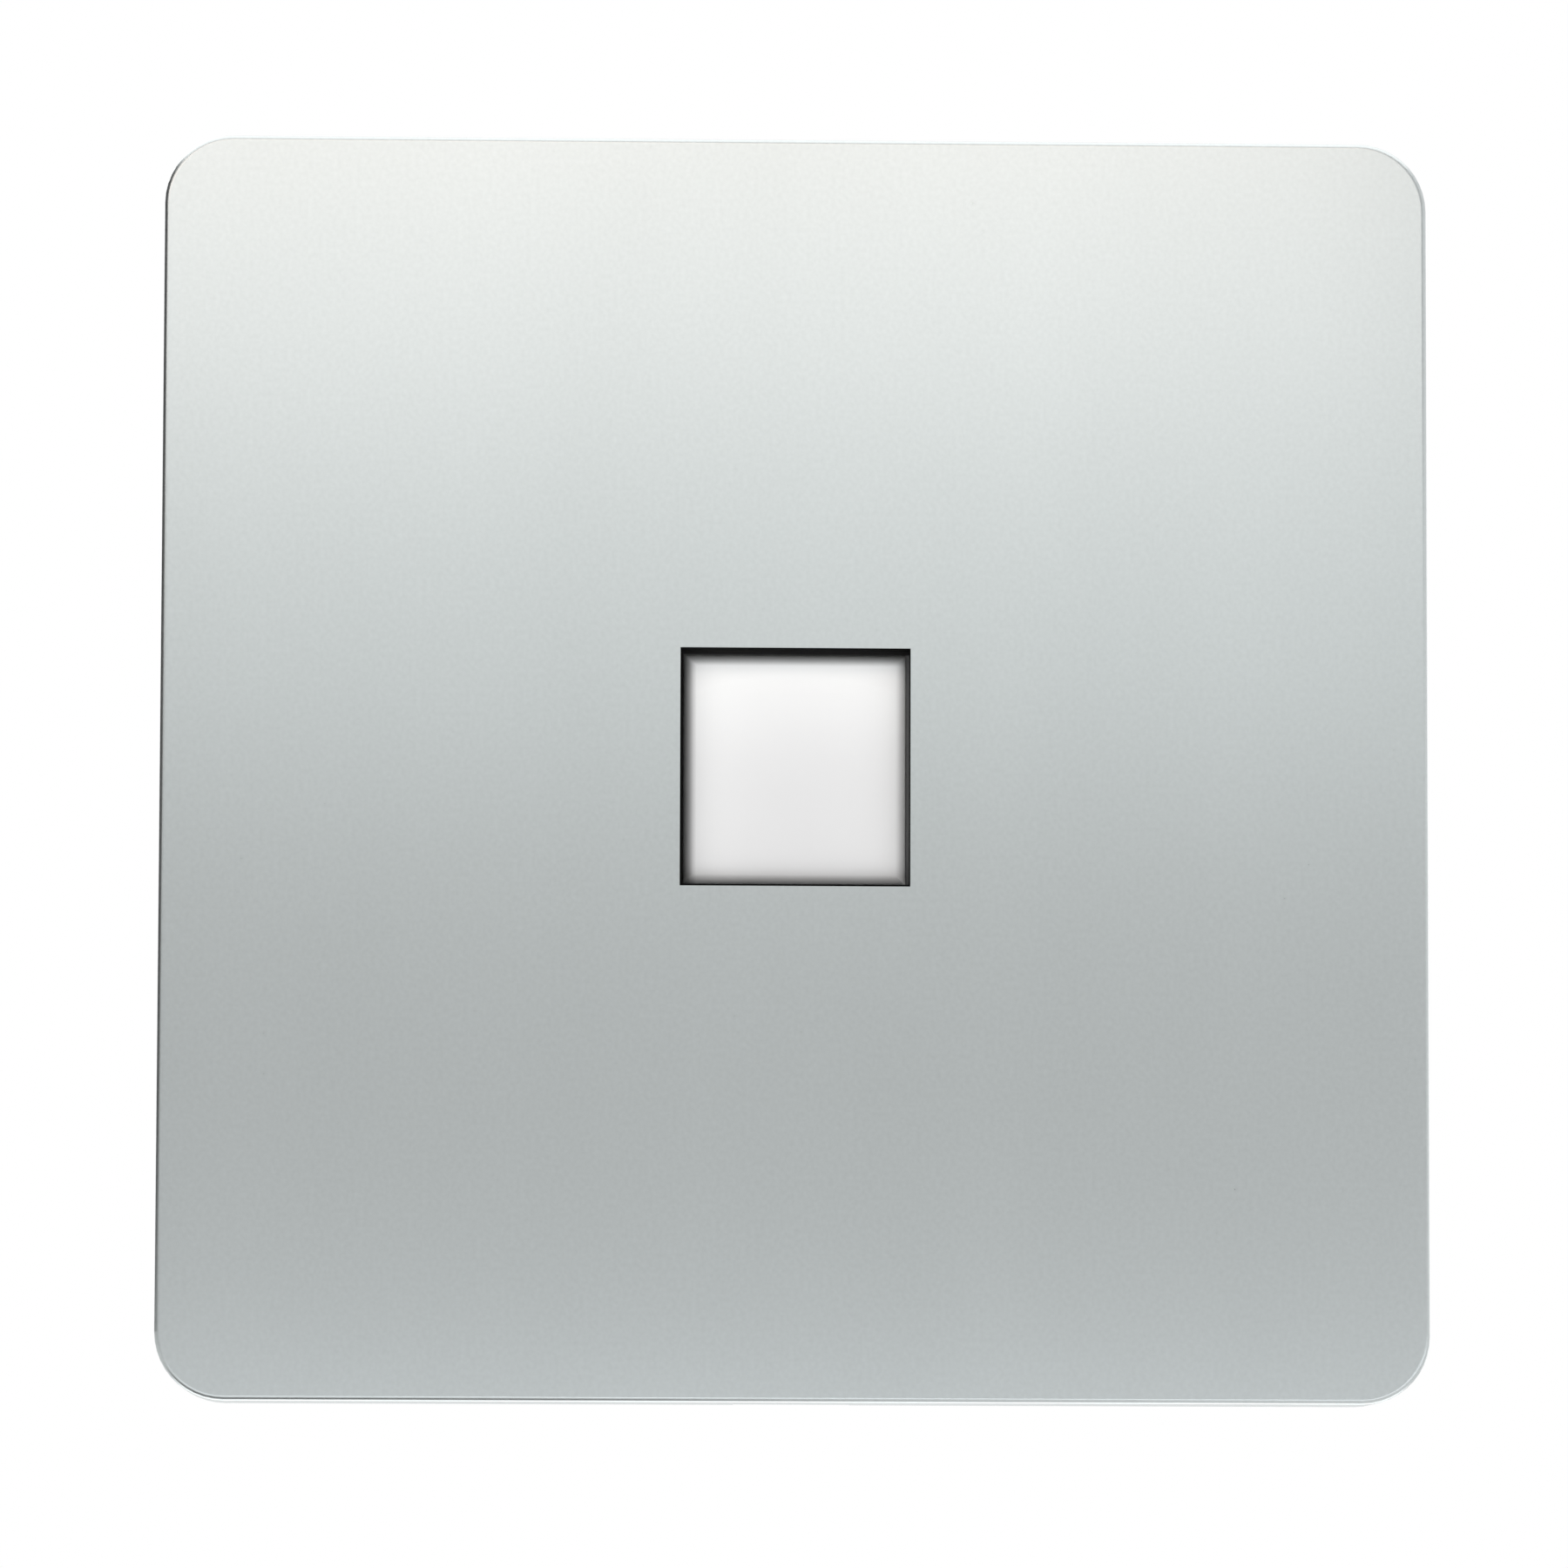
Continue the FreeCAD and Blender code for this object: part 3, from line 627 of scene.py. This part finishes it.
def board_traces():
    """Copper tracks under the solder mask of the board's rear face, from tails to blocks."""
    half_width, thinner = 0.15, 0.3
    routes = [
        [(-2.55, 2.86), (-2.55, 0.9), (-3.6, -0.15), (-3.6, -1.0), (-4.15, -1.55)],
        [(-1.53, 5.4), (-1.53, 4.13), (-4.15, 4.13)],
        [(-0.51, 2.86), (-0.51, 6.5), (-1.3, 7.3), (-4.15, 7.3)],
        [(0.51, 5.4), (0.51, -1.0), (2.0, -2.5), (3.4, -2.5), (4.15, -3.25)],
        [(1.53, 2.86), (1.53, 1.0), (3.0, -0.47), (4.15, -0.47)],
        [(3.57, 2.86), (4.15, 3.44)],
    ]
    tracks = [chain([(x, board_back, z) for x, z in route], half_width) for route in routes]
    piece = joined(tracks)
    edit()
    face_outwards()
    centre = (0, board_back * mm, 0)
    bpy.ops.transform.resize(value=(1, thinner, 1), center_override=centre)
    done()
    finish_piece(piece, "board_traces", copper_under_mask(), 60)


def surroundings(ambient):
    """White to the camera, in gloss and through glass, and an even grey light from all round."""
    world = bpy.data.worlds.new("studio")
    bpy.context.scene.world = world
    sky = Recipe(world)
    grey = sky.node("Background", {}, Color=(1, 1, 1), Strength=ambient)
    white = sky.node("Background", {}, Color=(1, 1, 1), Strength=1.0)
    seen = sky.rays("Camera", "Glossy", "Transmission")
    sky.node("OutputWorld", {}, Surface=sky.node("MixShader", {}, seen, grey, white))


def stage_paint(name, tone, glow):
    """Matt paint for the studio, with a share of plain white to the camera and in gloss."""
    recipe = Recipe(bpy.data.materials.new(name))
    surface = recipe.node("BsdfDiffuse", {}, Color=(tone, tone, tone))
    if glow:
        white = recipe.node("Emission", {}, Color=(1, 1, 1), Strength=1.0)
        seen = recipe.rays("Camera", "Glossy")
        surface = recipe.node("MixShader", {}, seen * glow, surface, white)
    recipe.node("OutputMaterial", {}, Surface=surface)
    return recipe.owner


def softbox(name, place, aim, size, radiance, colour=(1, 1, 1)):
    """A soft rectangular lamp that the camera doesn't see, by its width and height."""
    width, height = (side * mm for side in size)
    bpy.ops.object.light_add(type="AREA", location=(0, 0, 0))
    lamp = bpy.context.object
    lamp.name = name
    lamp.data.shape = "RECTANGLE"
    lamp.data.size = width
    lamp.data.size_y = height
    lamp.data.energy = math.pi * width * height * radiance
    lamp.data.color = colour
    lamp.visible_camera = False
    lamp.location = [v * mm for v in place]
    towards = Vector(aim) - Vector(place)
    lamp.rotation_euler = towards.to_track_quat("-Z", "Y").to_euler()
    return lamp


surroundings(1.02)
# A bank of soft strips close in front: brightest above, dark below the middle, and one near the
# foot. Height of the lower edge, radiance, place across and tint.
strip_width = 320
strip_height = 30
bank_y = -126
pale_cool = (0.95, 1.0, 1.0)
pale_warm = (1.0, 0.975, 0.955)
warm = (1.0, 0.86, 0.77)
cool = (0.92, 0.96, 1.0)
bank = (
    (-80, 1.25, 85, cool),
    (10, 0.474, 100, pale_cool),
    (40, 1.0, -90, pale_warm),
    (70, 1.70, -98, warm),
    (100, 0.74, -95, warm),
)
for foot, level, across, tint in bank:
    middle = foot + strip_height / 2
    place, aim = (across, bank_y, middle), (across, plate_front, middle)
    softbox("strip_at_" + str(foot), place, aim, (strip_width, strip_height), level, tint)
# One lamp overhead and one below light the cover's top and bottom edges.
softbox("overhead", (0, -2, 150), (0, -2, 0), (300, 216), 0.85)
softbox("low_edge", (0, 51, -150), (0, 51, 0), (300, 110), 1.33)
# A fill for the shutter and the inner plastics, which leaves no glare on the silver.
fill = softbox("low_fill", (0, -220, -130), (0, 0, 0), (400, 80), 1.4)
fill.visible_glossy = False
softbox("rear_box", (-260, 420, 330), (0, 0, 0), (300, 300), 1.945)
softbox("rear_fill", (420, 330, -40), (0, 0, 0), (260, 260), 0.942)

# The studio, in metres: a pale floor, a grey wall behind the camera, and two black cards that
# darken the cover's left and lower left edges. The camera sees the floor alone. Place, size,
# tilt and paint.
floor_pale = stage_paint("floor_pale", 0.85, 0.55)
wall_grey = stage_paint("wall_grey", 0.67, 0)
card_black = stage_paint("card_black", 0.01, 0)
quarter = math.pi / 2
studio = (
    ("floor", (0, 0, -0.18), (4, 4), (0, 0, 0), floor_pale),
    ("studio_wall", (0, -1.0, 0.72), (2.8, 1.8), (quarter, 0, 0), wall_grey),
    ("dark_card", (-0.175, 0.04, 0.071), (0.218, 0.32), (0, quarter, 0), card_black),
    ("low_card", (-0.10, -0.08, -0.14), (0.2, 0.09), (0, 0, 0), card_black),
)
for name, place, size, tilt, stage_finish in studio:
    bpy.ops.mesh.primitive_plane_add(size=1, location=place, rotation=tilt)
    sheet = bpy.context.object
    sheet.name = name
    sheet.scale = (*size, 1)
    sheet.visible_camera = name == "floor"
    sheet.data.materials.append(stage_finish)

opening_liner()
shutter_springs()
wall_screws()
solder_joints()
board_traces()

# The camera, from the corners of the cover and the opening in the photograph: the turn of the
# scene about the picture's axes, which run right, down and ahead, in degrees, and where the
# middle of the cover's face lies along them.
photo_px = 1800
focal_px = 10051.0
sensor_width = 36.0
roll, yaw, pitch = 0.337, -1.775, -5.501
seen_middle = Vector((0.778, -1.183, 600.0))
turn = Matrix.Rotation(math.radians(roll), 3, "Z") @ Matrix.Rotation(math.radians(yaw), 3, "Y")
turn = turn @ Matrix.Rotation(math.radians(pitch), 3, "X")
eye = -(turn.transposed() @ seen_middle)
upright = Matrix(((1, 0, 0), (0, 0, 1), (0, -1, 0)))
right, down, ahead = ((upright @ turn.transposed()).col[k] for k in range(3))
pose = Matrix((right, -down, -ahead)).transposed().to_4x4()
pose.translation = (upright @ eye + Vector((0, plate_front, 0))) * mm
view = bpy.data.cameras.new("photo_view")
view.sensor_width = sensor_width
view.lens = focal_px * sensor_width / photo_px
view.clip_start = 0.01
view.clip_end = 20.0
camera = bpy.data.objects.new("photo_view", view)
camera.matrix_world = pose
bpy.context.scene.collection.objects.link(camera)
bpy.context.scene.camera = camera
bpy.context.scene.view_settings.view_transform = "Standard"
